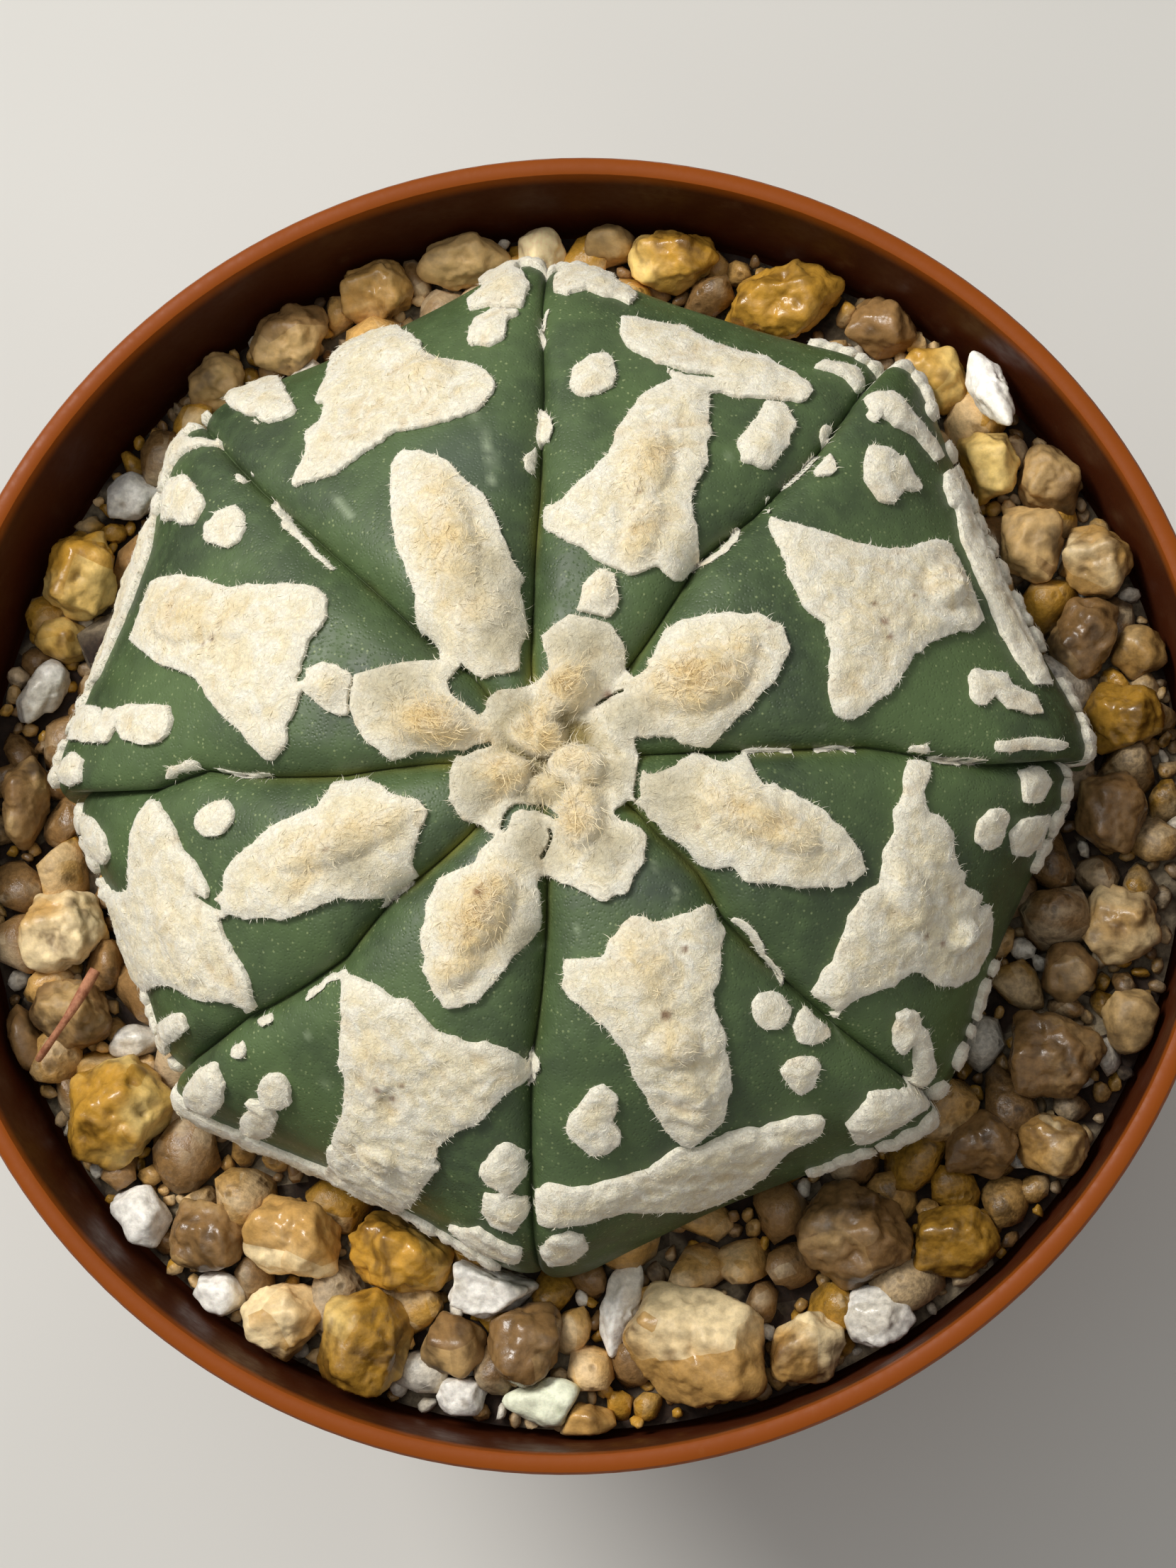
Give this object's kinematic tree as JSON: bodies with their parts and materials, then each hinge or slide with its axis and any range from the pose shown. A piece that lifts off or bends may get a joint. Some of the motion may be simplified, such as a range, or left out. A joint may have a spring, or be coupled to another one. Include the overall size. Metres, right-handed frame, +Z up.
{
  "type": "potted cactus",
  "caption": "Flat ribbed spineless cactus with white wool pads, growing in a small round nursery pot top-dressed with mineral grit.",
  "frame": {"origin": "centre of the pot's base on the ground", "axes": "+Z up the pot's axis, +X to the picture's right, +Y to the picture's top, -Y the front"},
  "size_m": [0.07, 0.07, 0.0708],
  "materials": {
    "pot_plastic": "satin, moulded",
    "potting_mix": "loose, dark",
    "grit": "rough, dusty",
    "cactus_skin": "waxy green skin with white felt pads",
    "dry_root": "dry, fibrous",
    "stone_tan": "rough, porous",
    "stone_ochre": "rough, porous",
    "stone_white": "rough, chalky",
    "stone_brown": "rough, porous",
    "stone_green": "rough, chalky"
  },
  "bodies": {
    "root": {"pot": "pot_plastic", "potting_mix": "potting_mix", "grit_bed": "grit", "cactus": "cactus_skin", "dry_root": "dry_root", "stone_01": "stone_ochre", "stone_02": "stone_white", "stone_03": "stone_brown", "stone_04": "stone_tan", "stone_05": "stone_ochre", "stone_06": "stone_white", "stone_07": "stone_tan", "stone_08": "stone_ochre", "stone_09": "stone_brown", "stone_10": "stone_brown", "stone_11": "stone_green", "stone_12": "stone_white", "stone_13": "stone_tan", "stone_14": "stone_tan", "stone_15": "stone_white", "stone_16": "stone_white", "stone_17": "stone_brown", "stone_18": "stone_ochre", "stone_19": "stone_tan", "stone_20": "stone_brown", "stone_21": "stone_ochre", "stone_22": "stone_white", "stone_23": "stone_white", "stone_24": "stone_brown", "stone_25": "stone_tan", "stone_26": "stone_ochre", "stone_27": "stone_ochre", "stone_28": "stone_brown", "stone_29": "stone_ochre", "stone_30": "stone_white", "stone_31": "stone_ochre", "stone_32": "stone_brown", "stone_33": "stone_brown", "stone_34": "stone_tan", "stone_35": "stone_brown", "stone_36": "stone_ochre", "stone_37": "stone_brown", "stone_38": "stone_tan", "stone_39": "stone_brown", "stone_40": "stone_brown", "stone_41": "stone_tan", "stone_42": "stone_brown", "stone_43": "stone_brown", "stone_44": "stone_white", "stone_45": "stone_ochre", "stone_46": "stone_brown", "stone_47": "stone_white", "stone_48": "stone_brown", "stone_49": "stone_tan", "stone_50": "stone_brown", "stone_51": "stone_brown", "stone_52": "stone_brown", "stone_53": "stone_tan", "stone_54": "stone_tan"}
  },
  "joints": []
}
